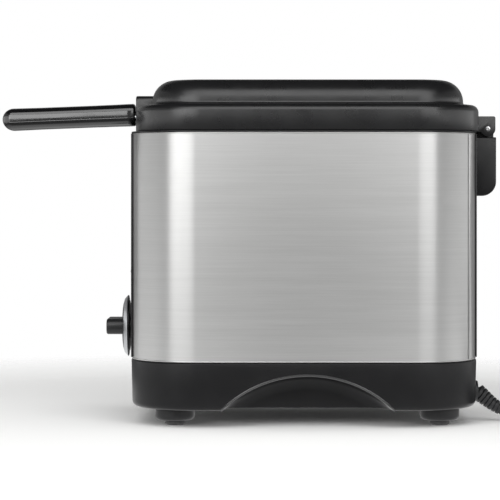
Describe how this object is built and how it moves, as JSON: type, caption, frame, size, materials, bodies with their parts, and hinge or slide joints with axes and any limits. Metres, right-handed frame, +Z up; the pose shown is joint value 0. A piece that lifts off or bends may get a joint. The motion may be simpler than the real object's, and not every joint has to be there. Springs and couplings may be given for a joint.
{
  "type": "deep fryer",
  "caption": "Compact household deep fryer: stainless wrapped body on a black base, hinged black lid, lift-out wire basket with grip, and a turning thermostat knob.",
  "frame": {"origin": "centre of the overall footprint, from the grip's free end to the hinge bracket's rear face, on the floor that the rubber feet stand on", "axes": "+Z up; +Y from the front (handle and knob) to the rear (hinge and cord); +X to the right for someone facing the front"},
  "size_m": [0.2445, 0.475, 0.2474],
  "materials": {
    "base_plastic": "satin moulded black",
    "cup_plastic": "satin moulded black",
    "foot_rubber": "matt dark grey rubber",
    "zinc_steel": "zinc plated",
    "brushed_stainless": "horizontal brushed grain",
    "panel_plastic": "semi gloss black",
    "frame_plastic": "satin black",
    "nonstick_aluminium": "dark grey non-stick coating on aluminium",
    "bare_aluminium": "plain mill finish",
    "element_steel": "heat darkened",
    "bare_steel": "plain sheet",
    "ceramic": "cream moulded phenolic or ceramic",
    "copper": "drawn copper",
    "red_lens": "red tinted lens",
    "green_lens": "green tinted lens",
    "white_nylon": "natural nylon",
    "wire_insulation": "silicone and glass sleeving",
    "polished_steel": "polished pin",
    "lid_plastic": "semi gloss black",
    "silicone": "grey silicone",
    "filter_mesh": "knitted aluminium pad",
    "window_glass": "clear tempered glass",
    "knob_plastic": "satin black",
    "chrome_ring": "bright chrome",
    "basket_wire": "chromed steel wire",
    "handle_plastic": "gloss black phenolic",
    "cord_rubber": "black pvc",
    "tie_plastic": "black",
    "plug_plastic": "black moulded pvc",
    "nickel_brass": "nickel plated"
  },
  "bodies": {
    "housing": {"base": "base_plastic", "foot_cups": "cup_plastic", "foot_pads": "foot_rubber", "foot_screws": "zinc_steel", "steel_wrap": "brushed_stainless", "rear_skin": "brushed_stainless", "front_panel": "panel_plastic", "rear_panel": "panel_plastic", "top_frame": "frame_plastic", "bowl": "nonstick_aluminium", "element_plate": "bare_aluminium", "heating_element": "element_steel", "heat_shield": "bare_steel", "tie_bolts": "zinc_steel", "thermostat": "ceramic", "thermostat_bracket": "bare_steel", "sensor_bulb": "copper", "thermal_cutout": "ceramic", "lamp_power": "red_lens", "lamp_ready": "green_lens", "lamp_holder": "white_nylon", "terminal_block": "white_nylon", "cord_clamp": "frame_plastic", "wiring": "wire_insulation", "hinge_bracket": "frame_plastic", "bracket_screws": "zinc_steel", "hinge_pin": "polished_steel", "strain_relief": "cord_rubber", "cord_lead": "cord_rubber", "cord_coil": "cord_rubber", "cord_tail": "cord_rubber", "cord_tie": "tie_plastic", "plug_body": "plug_plastic", "plug_pins": "nickel_brass"},
    "lid": {"lid_shell": "lid_plastic", "lid_inner": "bare_aluminium", "lid_seal": "silicone", "lid_filter": "filter_mesh", "vent_grille": "lid_plastic", "lid_window": "window_glass", "window_frame": "frame_plastic", "lid_screws": "zinc_steel"},
    "knob": {"knob": "knob_plastic", "knob_ring": "chrome_ring", "thermostat_shaft": "zinc_steel"},
    "basket": {"basket_bottom": "basket_wire", "basket_front_wall": "basket_wire", "basket_rear_wall": "basket_wire", "basket_left_wall": "basket_wire", "basket_right_wall": "basket_wire", "basket_frame": "basket_wire", "handle_bracket": "basket_wire", "handle_stem": "basket_wire", "handle_upper": "handle_plastic", "handle_lower": "handle_plastic", "handle_screws": "zinc_steel"}
  },
  "joints": [
    {"name": "lid_hinge", "type": "hinge", "parent": "housing", "child": "lid", "pos_m": [0, 0.1752, 0.2124], "axis": [-1, 0, 0], "range_deg": [0, 85]},
    {"name": "thermostat_turn", "type": "hinge", "parent": "housing", "child": "knob", "pos_m": [0, -0.0875, 0.067], "axis": [0, 1, 0], "range_deg": [0, 210]},
    {"name": "basket_lift", "type": "slide", "parent": "housing", "child": "basket", "axis": [0, 0, 1], "range_m": [0, 0.12]}
  ],
  "couplings": [
    {"joint": "basket_lift", "follows": "lid_hinge", "m_per_rad": 0.08}
  ]
}
